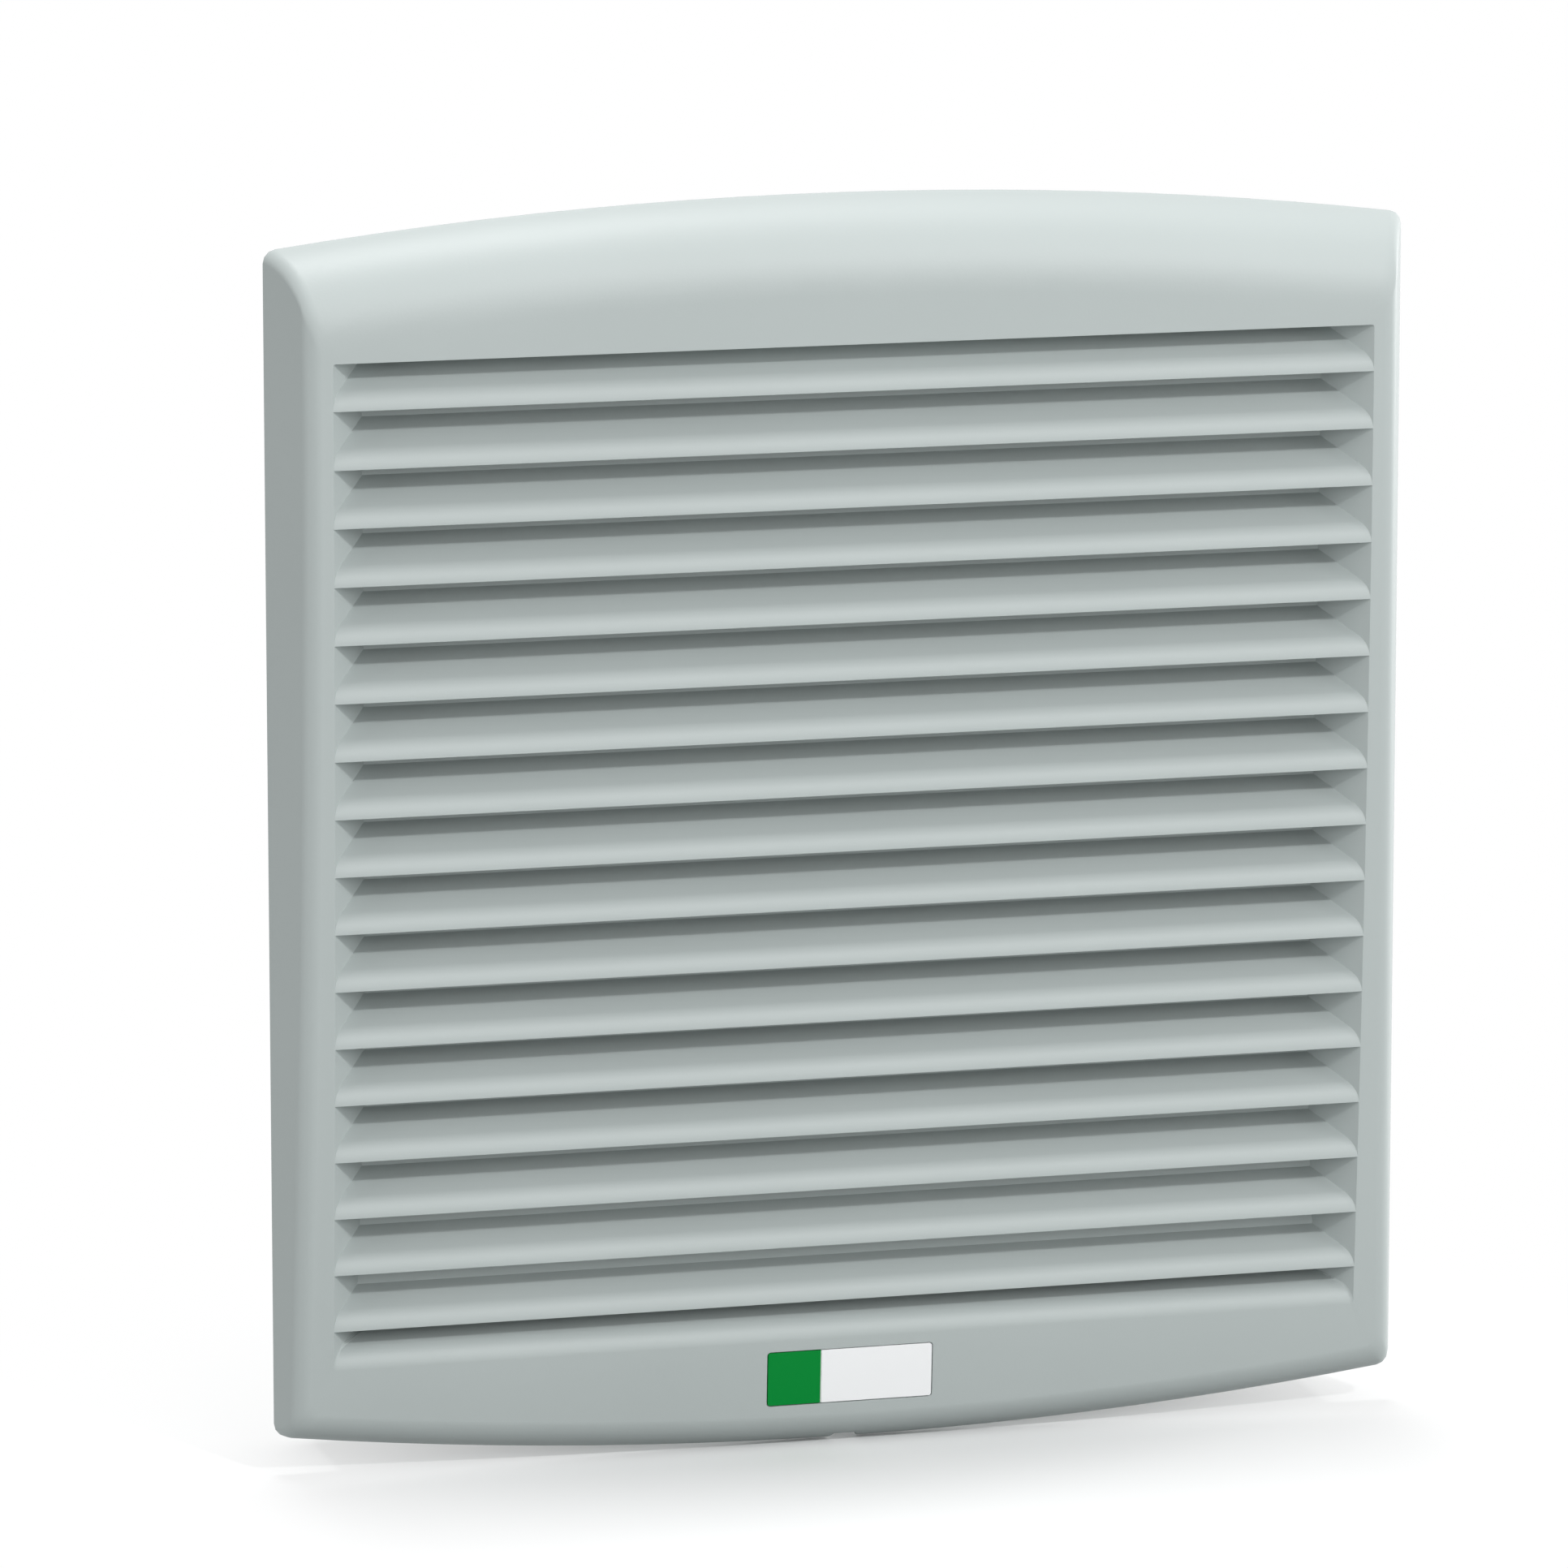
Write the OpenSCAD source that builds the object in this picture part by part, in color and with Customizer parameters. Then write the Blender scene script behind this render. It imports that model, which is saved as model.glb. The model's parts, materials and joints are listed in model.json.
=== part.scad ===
// Cabinet filter fan: louvred cover, filter mat and axial fan in a panel frame.
// The origin is the middle of the panel cut-out on the panel's outer face.
// +X is right and +Z up, seen from the front, and +Y points into the cabinet.

/* [Cover] */
// Width over the back edge
cover_w = 248; // [246:0.5:256]
// Height at the middle
cover_h = 268; // [266:0.5:278]
// Radius of the arched top and bottom edges
arch_r = 938; // [850:1:1200]
// Depth of the front face at its crown
crown_depth = 15.85; // [15.2:0.05:17]
// Height of the crown line above the middle
crown_z = 121; // [115:1:126]
// Radius of the front face, seen from the side
front_r = 3720; // [3500:10:5000]
// Inward slope of the side walls, per unit of depth
side_draft = 0.39; // [0.3:0.01:0.42]
// Radius of the rounded forehead
forehead_r = 20; // [18.5:0.1:21]
// Radius of the rounded lower edge
chin_r = 7.8; // [7.4:0.1:8.4]
// Radius between side wall and front
edge_r = 4.2; // [3.6:0.1:4.6]
// Radius of the outline's corners
corner_r = 3; // [2:0.1:4]
// Wall thickness
cover_wall = 2.5; // [2:0.1:2.8]
// Gap between the cover's back edge and the panel
panel_gap = 0.2; // [0.1:0.1:0.4]

/* [Louvres] */
// Width of the louvre window
window_w = 225.8; // [214:0.2:227]
// Least width of the cover beside the window
window_side = 11; // [10:0.1:11]
// Drop from the cover's top edge to the window's top edge
window_top = 30.1; // [29.6:0.1:32]
// Drop from the window's top edge to the first lip
first_drop = 9.9; // [9.5:0.1:11]
// Spacing of the lips
louvre_pitch = 12.25; // [11.8:0.05:12.3]
// Number of blades, where there is room for them
louvre_count = 17; // [8:1:17]
// Least height of the cover below the sill
sill_room = 23; // [21.5:0.5:23]
// Drop from the last lip to the sill
sill_drop = 8.55; // [8.3:0.05:8.8]
// Nose radius of a blade
nose_r = 5.2; // [4.8:0.1:5.6]
// Angle that the nose turns through
nose_turn = 56; // [54:1:58]
// Thickness of a blade
blade_t = 2.3; // [1.8:0.1:2.6]
// Depth of a blade behind its lip, where the cover is deep enough
blade_depth = 11.3; // [11:0.1:11.6]
// Height of a blade's upturned tail above its lip
tail_h = 10.9; // [10.7:0.1:11]
// Inward slope of the window's cheeks, per unit of depth
cheek_slope = 0.82; // [0.78:0.01:0.86]
// Thickness of the cheeks
cheek_t = 1.6; // [1.4:0.1:1.8]
// Depth of the sill
sill_depth = 7; // [6.6:0.1:7.4]
// Angle that the sill turns through
sill_turn = 62; // [58:1:66]

/* [Label and notch] */
// Width of the label plate
label_w = 36.3; // [30:0.1:40]
// Height of the label plate
label_h = 11.7; // [10:0.1:12]
// Drop from the sill to the label's middle
label_drop = 8.25; // [7.6:0.05:8.8]
// Thickness of the label plate
label_t = 0.8; // [0.5:0.1:1.2]
// Gap round the label plate
label_gap = 0.2; // [0.1:0.05:0.4]
// Width of the coloured field on the label
label_field_w = 11.7; // [9:0.1:14]
// Width of the pry notch at the cover's edge
notch_w = 6.9; // [5:0.1:9]
// Width of the pry notch at its top
notch_top_w = 4.9; // [3:0.1:5]
// Height of the pry notch
notch_h = 1.6; // [1.2:0.1:2]

/* [Panel frame] */
// Side of the square panel cut-out
cutout = 223; // [222:0.5:224]
// Gap between collar and cut-out on each side
cutout_gap = 0.5; // [0.3:0.1:1]
// Thickness of the collar's wall
collar_wall = 2.5; // [2:0.1:3]
// Depth of the collar behind the panel face
collar_depth = 25; // [22:0.5:30]
// Thickness of the flange
flange_t = 2.5; // [2:0.1:2.6]
// Gap between the flange's rim and the cover
flange_gap = 0.5; // [0.4:0.1:1]
// Least width of the flange beside the collar
side_land = 8; // [6:0.5:8]
// Least width of the flange above and below the collar
end_land = 10; // [9:0.5:10]
// Thickness of the gasket
gasket_t = 2; // [1.8:0.1:2.1]
// Spacing of the panel screws across
screw_dx = 180; // [150:1:190]
// Spacing of the panel screws in height
screw_dz = 233; // [232:0.5:233.5]
// Least distance of the panel screws from the flange's edge
screw_edge = 4.8; // [4.4:0.1:4.8]
// Radius of the panel screw holes
screw_hole_r = 2.15; // [1.8:0.05:2.3]
// Radius of the panel screw bosses
screw_boss_r = 3.3; // [2.9:0.1:3.5]
// Width of a cover peg
peg_w = 6; // [4:0.5:8]
// Thickness of a cover peg
peg_t = 3; // [2:0.1:3.4]
// Gap round a cover peg in its slot
peg_gap = 0.4; // [0.3:0.05:0.6]
// Greatest distance of the cover pegs from the flange's edge
peg_edge = 5; // [5:0.1:5.4]
// Distance of the cover pegs from the middle
peg_x = 60; // [40:1:65]

/* [Filter] */
// Gap between panel face and filter mat
filter_gap = 1; // [0.6:0.1:2]
// Thickness of the filter mat
filter_t = 10; // [8:0.5:11]
// Gap between filter mat and collar
filter_side_gap = 0.8; // [0.4:0.1:1.5]
// Thickness of the support grid
grid_t = 3; // [2:0.1:4]
// Width of the grid's ribs
grid_rib = 2; // [1.5:0.1:3]
// Width of the grid's rim
grid_rim = 6; // [5:0.5:8]
// Cells of the grid in each direction
grid_cells = 8; // [5:1:10]
// Gap between grid and collar
grid_gap = 0.2; // [0.1:0.05:0.4]
// Width of the ledge behind the grid
ledge_w = 4; // [3:0.5:5]
// Thickness of the ledge
ledge_t = 2.5; // [2:0.1:3]

/* [Hood] */
// Thickness of the hood's wall
hood_wall = 2.5; // [2:0.1:3]
// Half width of the hood's inlet
hood_half = 92; // [88:0.5:94]
// Squareness of the hood's inlet, from 2 for a circle
hood_square = 4; // [3:0.5:6]
// Length of the hood from collar to fan
hood_len = 25; // [22:0.5:35]
// Thickness of the fan seat
seat_t = 3; // [2.5:0.1:4]
// Side of the corner posts that take the hood screws
post_w = 9; // [8:0.5:10]
// Radius of the hood screws
hood_screw_r = 1.6; // [1.2:0.1:1.8]
// Length of a hood screw in its post
hood_screw_grip = 7; // [5:0.5:9]
// Length of a fan screw in the hood
fan_screw_grip = 7; // [5:0.5:9]

/* [Fan] */
// Outer radius of the fan's flanges
fan_r = 86; // [85:0.5:88]
// Width over the fan's flats
fan_flat_w = 150; // [149:0.5:156]
// Depth of the fan
fan_depth = 38; // [38:0.5:44]
// Radius of the fan's bore
fan_bore_r = 73; // [72.6:0.1:73.4]
// Least width of the fan's flanges outside the bore
fan_band = 13; // [12:0.1:13]
// Thickness of the fan's flanges
fan_flange_t = 4; // [3:0.1:5]
// Radius of the circle of fan screws
fan_screw_circle = 81; // [80:0.1:81.5]
// Least distance of the fan screws from the flanges' rim
fan_screw_edge = 5; // [4.5:0.1:5]
// Angle of the fan screws from the vertical
fan_screw_angle = 25; // [22:1:32]
// Radius of the fan screws
fan_screw_r = 2; // [1.6:0.05:2.1]
// Gap between a screw and its hole
screw_gap = 0.15; // [0.1:0.05:0.25]
// Radius of the motor base
motor_base_r = 34; // [32:0.5:38]
// Thickness of the motor base
motor_base_t = 5; // [4:0.1:6]
// Width of a strut
strut_w = 6; // [4:0.5:9]
// Gap between a strut's end and the fan's bore
strut_gap = 0.05; // [0.02:0.01:0.1]
// Number of struts
strut_count = 4; // [3:1:6]

/* [Motor] */
// Radius of the shaft
shaft_r = 2.5; // [2:0.1:3]
// Running gap between shaft and bearing
shaft_gap = 0.04; // [0.02:0.01:0.08]
// Outer radius of a ball bearing
bearing_r = 8; // [7.5:0.1:8.5]
// Width of a ball bearing
bearing_w = 5; // [4:0.1:6]
// Wall of the bearing tube
tube_wall = 2; // [1.5:0.1:2.5]
// Outer radius of the stator
stator_r = 25.5; // [24:0.1:26]
// Length of the stator stack
stator_len = 12; // [9:0.5:13]
// Number of stator teeth
stator_teeth = 6; // [4:1:8]
// Height of a winding's overhang
winding_h = 4; // [3:0.1:4.5]
// Air gap between stator and rotor
air_gap = 0.5; // [0.4:0.05:0.8]
// Thickness of the rotor's cage ring
cage_t = 3; // [2:0.1:4]
// Thickness of the rotor can
can_t = 1.5; // [1:0.1:2]

/* [Impeller] */
// Wall of the impeller's hub
hub_wall = 2.5; // [2:0.1:3]
// Gap between blade tips and fan bore
tip_gap = 2; // [1.5:0.1:3]
// Number of impeller blades
impeller_blades = 5; // [3:1:9]
// Thickness of an impeller blade
impeller_blade_t = 2; // [1.5:0.1:3]
// Twist of a blade over its length
impeller_twist = 40; // [25:1:50]
// Forward sweep of a blade from root to tip
blade_sweep = 14; // [0:1:25]

/* [Guard and terminals] */
// Radius of the guard's wire
wire_r = 1.1; // [0.9:0.05:1.3]
// Number of guard rings
guard_rings = 5; // [3:1:6]
// Radius of the smallest guard ring
guard_inner_r = 18; // [14:0.5:22]
// Radius of the largest guard ring
guard_outer_r = 70; // [68:0.5:72]
// Width of the terminal block
terminal_w = 36; // [30:1:38]
// Depth of the terminal block, off the hood
terminal_d = 17; // [14:0.5:20]
// Height of the terminal block
terminal_h = 14; // [12:0.5:14]
// Distance of the terminal block's middle from the hood's side
terminal_inset = 41; // [30:1:60]
// Least gap between the terminal block and its neighbours
terminal_gap = 1; // [0.5:0.1:2]
// Number of poles
terminal_poles = 3; // [2:1:4]

/* [Hidden] */
$fn = 72;
eps = 0.01;

light_grey = "#C3C9C7";
dark_grey = "#3A3D3F";
steel = "#B9BDC1";
brass = "#C9B37A";

half_w = cover_w / 2;
half_h = cover_h / 2;
draft_angle = atan(side_draft);
window_half = min(window_w / 2, half_w - window_side);
lintel_z = half_h - window_top;
blade_room = lintel_z - first_drop - sill_drop + half_h - sill_room;
blade_count = min(louvre_count, floor(blade_room / louvre_pitch) + 1);
sill_z = lintel_z - first_drop - (blade_count - 1) * louvre_pitch - sill_drop;
label_z = sill_z - label_drop;
blade_rise = 1 / tan(nose_turn);

flange_depth = gasket_t + flange_t;
flange_w = 2 * (half_w - side_draft * flange_depth - cover_wall / cos(draft_angle) - flange_gap);
flange_h = 2 * (arch_z(flange_w / 2) - flange_gap
    - max(shoulder_inset(flange_depth, front_depth(chin_z(flange_w / 2)), chin_r, cover_wall),
          shoulder_inset(flange_depth, crown_depth, forehead_r, cover_wall)));
flange_corner = 4;
collar_x = min(cutout / 2 - cutout_gap, flange_w / 2 - side_land);
collar_z = min(cutout / 2 - cutout_gap, flange_h / 2 - end_land);
collar_in_x = collar_x - collar_wall;
collar_in_z = collar_z - collar_wall;
collar_corner = 4;
screw_z = min(screw_dz / 2, flange_h / 2 - screw_edge);
cheek_room = window_half + cheek_t + flange_gap;
rebate_half = cheek_room - cheek_slope * (front_depth(sill_z) - flange_depth - 1);
rebate_depth = front_depth(sill_z) - (cheek_room - collar_in_x) / cheek_slope;
peg_z = max(screw_z, flange_h / 2 - peg_edge);

filter_back = filter_gap + filter_t;
grid_back = filter_back + grid_t;
ledge_back = grid_back + ledge_t;
hood_plate_back = collar_depth + hood_wall;
fan_front = collar_depth + hood_len;
fan_back = fan_front + fan_depth;
post_x = collar_in_x - post_w / 2;
post_z = collar_in_z - post_w / 2;
seat_r = fan_r + 1;
bore_r = min(fan_bore_r, fan_r - fan_band);
screw_end_gap = 1;
hood_screw_tip = collar_depth - hood_screw_grip;
fan_screw_tip = fan_front - fan_screw_grip;
hood_head_r = 3;
hood_head_h = 2;
fan_head_r = 3.8;
fan_head_h = 2.6;
screw_circle = min(fan_screw_circle, fan_r - fan_screw_edge);
guard_r = guard_outer_r - (fan_bore_r - bore_r);
inlet_half = min(hood_half, min(collar_x, collar_z) - terminal_h - 2 * terminal_gap);

can_in = stator_r + air_gap + cage_t;
hub_in = can_in + can_t;
hub_r = hub_in + hub_wall;
hub_front = fan_front + 1;
strut_reach = sqrt(pow(bore_r - strut_gap, 2) - pow(strut_w / 2, 2));
can_front = hub_front + hub_wall;
can_boss_back = can_front + can_t + 3;
washer_t = 0.5;
axial_gap = 0.3;
front_bearing_y = can_boss_back + washer_t + axial_gap;
rear_bearing_y = fan_back - motor_base_t - 1;
tube_front = front_bearing_y;
stator_front = front_bearing_y + winding_h + 1.5;
cage_front = stator_front - 1;
cage_len = stator_len + 2;
rotor_back = fan_back - motor_base_t - 3;
ring_y = rear_bearing_y + bearing_w + axial_gap;
ring_t = 0.8;
shaft_back = ring_y + ring_t + 1;
weld_gap = 0.04;
guard_y = fan_back + wire_r + weld_gap;
spoke_y = guard_y + 2 * wire_r + weld_gap;
guard_back = spoke_y + wire_r;

// Depth of the front face at a height
function front_depth(z) = crown_depth - pow(z - crown_z, 2) / (2 * front_r);

// Height of the arched top edge at a distance from the middle
function arch_z(x) = half_h - arch_r + sqrt(arch_r * arch_r - x * x);

// Height where the chin meets the front face
function chin_z(x) = chin_r - arch_z(x);

// Inset of a rounded shoulder at a depth, for the front at depth f and a skin w below the surface
function shoulder_inset(d, f, r, w) =
    sqrt(r * r - pow(r - f, 2)) - sqrt(max(0, pow(r - w, 2) - pow(r - f + d, 2)));

// Inset of the drafted side wall, with its round edge on the outer skin
function side_inset(d, f, w) =
    w > 0 ? d * side_draft + w / cos(draft_angle)
    : d <= f - edge_r + edge_r * sin(draft_angle) ? d * side_draft
    : side_draft * (f - edge_r) + edge_r / cos(draft_angle)
      - edge_r * sqrt(max(0, 1 - pow((d - f + edge_r) / edge_r, 2)));

// Depth of blades and cheeks at a height, which ends short of the panel face
function louvre_reach(z) = min(blade_depth, front_depth(z));

function mix(a, b, s) = a + (b - a) * s;

// The shell is one closed skin of rings. A ring holds the half width of its sides, the heights of its
// top and bottom edges and the depth of each, as functions of its place in the skin.
skin_count = 12;
sill_steps = 4;
cheek_count = sill_steps + 1;
sill_edge_t = 1.2;
sill_foot = 1.5;
inner_steps = [1, 0.92, 0.78, 0.55, 0.3, 0];
window_first = skin_count + 1;
cheek_back = window_first + cheek_count + 1;
inner_front = cheek_back + 1;
inner_first = inner_front + 1;
ring_count = inner_first + len(inner_steps);

forehead_start = asin((forehead_r - crown_depth) / forehead_r);
function skin_share(k) =
    (sin(mix(forehead_start, 90, k / skin_count)) - sin(forehead_start)) / (1 - sin(forehead_start));
function cheek_u(k, z) = k < cheek_back - 1 ? sill_u(k) : louvre_reach(z);
function lintel_u(k) = cover_wall * min(k - window_first, cheek_count) / cheek_count;
function sill_angle(k) = sill_turn * min(k - window_first, sill_steps) / sill_steps;
function sill_run(k) = k < cheek_back - 1 ? 0 : sill_depth - nose_r * (1 - cos(sill_turn));
function sill_u(k) = nose_r * (1 - cos(sill_angle(k))) + sill_run(k);
function sill_rise(k) = nose_r * sin(sill_angle(k)) + sill_run(k) / tan(sill_turn);

function side_x(k, z) = let (f = front_depth(z))
    k < window_first ? half_w - side_inset(skin_share(k) * f, f, 0)
    : k < cheek_back ? window_half - cheek_slope * cheek_u(k, z)
    : k < inner_front ? window_half - cheek_slope * cheek_u(k, z) + cheek_t
    : k < inner_first ? window_half - cheek_slope * cover_wall + cheek_t
    : half_w - side_inset(inner_steps[k - inner_first] * (f - cover_wall), f, cover_wall);
function side_depth(k, z) = let (f = front_depth(z))
    k < window_first ? skin_share(k) * f
    : k < inner_front ? f - cheek_u(k, z)
    : k < inner_first ? f - cover_wall
    : inner_steps[k - inner_first] * (f - cover_wall);

function top_z(k, x) =
    k < window_first ? arch_z(x) - shoulder_inset(skin_share(k) * crown_depth, crown_depth, forehead_r, 0)
    : k < cheek_back ? lintel_z + blade_rise * lintel_u(k)
    : k < inner_front ? lintel_z + blade_rise * cover_wall + 0.2
    : k < inner_first ? lintel_z + blade_rise * cover_wall + 0.4
    : arch_z(x) - shoulder_inset(top_depth(k, x), crown_depth, forehead_r, cover_wall);
function top_depth(k, x) =
    k < window_first ? skin_share(k) * crown_depth
    : k < cheek_back ? front_depth(lintel_z) - lintel_u(k)
    : k < inner_first ? front_depth(lintel_z) - cover_wall
    : inner_steps[k - inner_first] * (crown_depth - cover_wall);

function bottom_z(k, x) = let (f = front_depth(chin_z(x)))
    k < window_first ? shoulder_inset(skin_share(k) * f, f, chin_r, 0) - arch_z(x)
    : k < cheek_back ? sill_z + sill_rise(k)
    : k < inner_front ? sill_z + sill_rise(k) - sill_edge_t
    : k < inner_first ? sill_z + sill_foot
    : shoulder_inset(bottom_depth(k, x), f, chin_r, cover_wall) - arch_z(x);
function bottom_depth(k, x) = let (f = front_depth(chin_z(x)))
    k < window_first ? skin_share(k) * f
    : k < inner_front ? front_depth(sill_z) - sill_u(k)
    : k < inner_first ? front_depth(sill_z) - cover_wall
    : inner_steps[k - inner_first] * (f - cover_wall);

side_count = 10;
corner_count = 3;
arch_count = 11;
function ring_corner(k) = k < window_first ? corner_r : 0.6;

// Points of ring k, from the lower right corner round by the top
function ring(k) = let (
    r = ring_corner(k),
    lean = k < window_first || k >= inner_first ? asin(half_w / arch_r) : 0,
    x_top = side_x(k, top_z(k, half_w)) - r,
    x_low = side_x(k, bottom_z(k, half_w)) - r,
    z_top = top_z(k, x_top + r * sin(lean)) - r * cos(lean),
    z_low = bottom_z(k, x_low + r * sin(lean)) + r * cos(lean),
    right = [for (i = [0:side_count]) let (z = mix(z_low, z_top, i / side_count))
        [side_x(k, z), -side_depth(k, z), z]],
    upper = [for (i = [1:corner_count]) let (
        a = (90 - lean) * i / corner_count,
        s = i / corner_count)
        [x_top + r * cos(a),
         -mix(side_depth(k, z_top), top_depth(k, x_top), s),
         z_top + r * sin(a)]],
    top = [for (i = [1:arch_count]) let (x = (x_top + r * sin(lean)) * (1 - i / arch_count))
        [x, -top_depth(k, x), top_z(k, x)]],
    lower = [for (i = [1:corner_count - 1]) let (
        a = (90 - lean) * i / corner_count,
        s = i / corner_count)
        [x_low + r * cos(a),
         -mix(side_depth(k, z_low), bottom_depth(k, x_low), s),
         z_low - r * sin(a)]],
    bottom = [for (i = [0:arch_count]) let (x = (x_low + r * sin(lean)) * (1 - i / arch_count))
        [x, -bottom_depth(k, x), bottom_z(k, x)]],
    half = concat(reverse(bottom), reverse(lower), right, upper, top))
    concat(half, [for (i = [len(half) - 2:-1:1]) [-half[i][0], half[i][1], half[i][2]]]);

function reverse(list) = [for (i = [len(list) - 1:-1:0]) list[i]];

// A slab between two depths, its outline given across X and up Z
module slab(front, back) {
    translate([0, back, 0])
        rotate([90, 0, 0])
            linear_extrude(back - front)
                children();
}

// A revolve about the fan's axis, its profile given as radius and Y
module turned() {
    rotate([-90, 0, 0])
        rotate_extrude()
            children();
}

// A bar along X, its section given across Y and up Z
module along_x(length) {
    translate([-length / 2, 0, 0])
        rotate([90, 0, 90])
            linear_extrude(length)
                children();
}

// A rounded rectangle with true arcs
module round_rect(w, h, r) {
    square([w - 2 * r, h], center = true);
    square([w, h - 2 * r], center = true);
    for (sx = [-1, 1], sz = [-1, 1])
        translate([sx * (w / 2 - r), sz * (h / 2 - r)])
            circle(r);
}

module washer(inner, outer) {
    difference() {
        circle(outer);
        circle(inner);
    }
}

// A ring of rectangular section about the fan's axis
module tube(inner, outer, front, back) {
    slab(front, back)
        washer(inner, outer);
}

module at_corners(dx, dz) {
    for (sx = [-1, 1], sz = [-1, 1])
        translate([sx * dx, 0, sz * dz])
            children();
}

module at_fan_screws() {
    at_corners(screw_circle * sin(fan_screw_angle), screw_circle * cos(fan_screw_angle))
        children();
}

module rod(r, front, back) {
    slab(front, back)
        circle(r);
}

// Local frame on the front face, with -Y out of the face
module on_front(z) {
    translate([0, -front_depth(z), z])
        rotate([atan((crown_z - z) / front_r), 0, 0])
            children();
}

module cover_skin() {
    rings = [for (k = [0:ring_count - 1]) ring(k)];
    n = len(rings[0]);
    function at(k, i) = (k % ring_count) * n + i % n;
    polyhedron(
        points = [for (r = rings) each r],
        faces = [for (k = [0:ring_count - 1], i = [0:n - 1])
            each [[at(k, i), at(k + 1, i), at(k + 1, i + 1)], [at(k, i), at(k + 1, i + 1), at(k, i + 1)]]],
        convexity = 10);
}

// Pegs inside the cover that plug into the flange, from the middle of the cover's wall
module cover_pegs() {
    function wall_depth(z) = let (rise = z - top_z(skin_count, peg_x))
        rise > 0 ? crown_depth - forehead_r + sqrt(pow(forehead_r - cover_wall / 2, 2) - rise * rise)
        : front_depth(z) - cover_wall / 2;
    for (sx = [-1, 1], z = [-peg_z, peg_z]) {
        depth = min(wall_depth(z - peg_t / 2), wall_depth(z + peg_t / 2));
        translate([sx * peg_x - peg_w / 2, -depth, z - peg_t / 2])
            cube([peg_w, depth - gasket_t - peg_gap, peg_t]);
    }
}

module cover_shell() {
    color(light_grey)
        translate([0, -panel_gap, 0])
            difference() {
                union() {
                    cover_skin();
                    cover_pegs();
                }
                on_front(label_z)
                    slab(-1, label_t)
                        round_rect(label_w + 2 * label_gap, label_h + 2 * label_gap, 0.8);
                slab(-crown_depth, 1)
                    polygon([[-notch_w / 2, -half_h - 1], [notch_w / 2, -half_h - 1],
                        [notch_w / 2, -half_h], [notch_top_w / 2, notch_h - half_h],
                        [-notch_top_w / 2, notch_h - half_h], [-notch_w / 2, -half_h]]);
            }
}

// Section of a blade of a depth: a round nose and a straight tail, turned up at its end, from its lip at
// the origin
module blade_section(depth) {
    inner_r = nose_r - blade_t;
    reach = nose_r * 2;
    tail = (depth - nose_r * (1 - cos(nose_turn))) / sin(nose_turn);
    edge_t = blade_t / 2;
    tail_foot = nose_r * sin(nose_turn) + tail * cos(nose_turn) - blade_t;
    translate([depth - edge_t, tail_foot])
        square([edge_t, tail_h - tail_foot]);
    translate([nose_r, 0])
        intersection() {
            washer(inner_r, nose_r);
            polygon([[0, 0], [-reach, 0], [-reach, reach * tan(nose_turn)]]);
        }
    translate([nose_r, 0])
        rotate(180 - nose_turn)
            polygon([[inner_r, -tail], [nose_r, -tail], [nose_r, 0], [inner_r + blade_t / 2, blade_t / 4],
                [inner_r, 0]]);
}

module louvre_blades() {
    end_gap = 0.1;
    tail_gap = 0.3;
    front_half = window_half - end_gap;
    color(light_grey)
        for (i = [0:blade_count - 1]) {
            lip_z = lintel_z - first_drop - i * louvre_pitch;
            reach = louvre_reach(lip_z);
            cut = reach + blade_t;
            back_half = front_half - cheek_slope * cut;
            translate([0, -panel_gap, 0])
                intersection() {
                    translate([0, -front_depth(lip_z), lip_z])
                        along_x(window_w)
                            blade_section(reach);
                    on_front(lip_z)
                        translate([0, 0, -1])
                            linear_extrude(2 * louvre_pitch)
                                polygon([[-front_half, 0], [front_half, 0],
                                    [back_half, cut], [-back_half, cut]]);
                    slab(-2 * crown_depth, -tail_gap)
                        square([window_w, 2 * cover_h], center = true);
                }
        }
}

module label_plate() {
    color("#DDE3E6")
        translate([0, -panel_gap, 0])
            on_front(label_z)
                difference() {
                    slab(0, label_t)
                        round_rect(label_w, label_h, 0.6);
                    translate([label_field_w - label_w / 2, 0, 0])
                        cube([0.3, 0.4, label_h + 1], center = true);
                }
}

module flange_outline() {
    round_rect(flange_w, flange_h, flange_corner);
}

module base_frame() {
    color(light_grey) {
        difference() {
            union() {
                slab(-flange_depth, -gasket_t)
                    flange_outline();
                slab(-flange_depth, collar_depth)
                    round_rect(2 * collar_x, 2 * collar_z, collar_corner);
                at_corners(screw_dx / 2, screw_z)
                    rod(screw_boss_r, -flange_depth, 0);
            }
            slab(-flange_depth - 1, collar_depth + 1)
                difference() {
                    round_rect(2 * collar_in_x, 2 * collar_in_z, collar_corner - collar_wall);
                    for (sx = [-1, 1], sz = [-1, 1])
                        translate([sx * post_x, sz * post_z])
                            square(post_w, center = true);
                }
            slab(-flange_depth - 1, grid_back)
                round_rect(2 * collar_in_x, 2 * collar_in_z, collar_corner - collar_wall);
            translate([0, 0, -collar_in_z])
                linear_extrude(2 * collar_in_z)
                    polygon([[-rebate_half, -flange_depth - 1], [rebate_half, -flange_depth - 1],
                        [collar_in_x, -rebate_depth], [-collar_in_x, -rebate_depth]]);
            at_corners(screw_dx / 2, screw_z)
                rod(screw_hole_r, -flange_depth - 1, 1);
            at_corners(post_x, post_z)
                rod(hood_screw_r + screw_gap, hood_screw_tip - screw_end_gap, collar_depth + 1);
            at_corners(peg_x, peg_z)
                cube([peg_w + 2 * peg_gap, 4 * flange_depth, peg_t + 2 * peg_gap], center = true);
        }
        difference() {
            slab(grid_back, ledge_back)
                square([2 * collar_in_x + eps, 2 * collar_in_z + eps], center = true);
            slab(grid_back - 1, ledge_back + 1)
                square([2 * (collar_in_x - ledge_w), 2 * (collar_in_z - ledge_w)], center = true);
        }
    }
}

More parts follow.
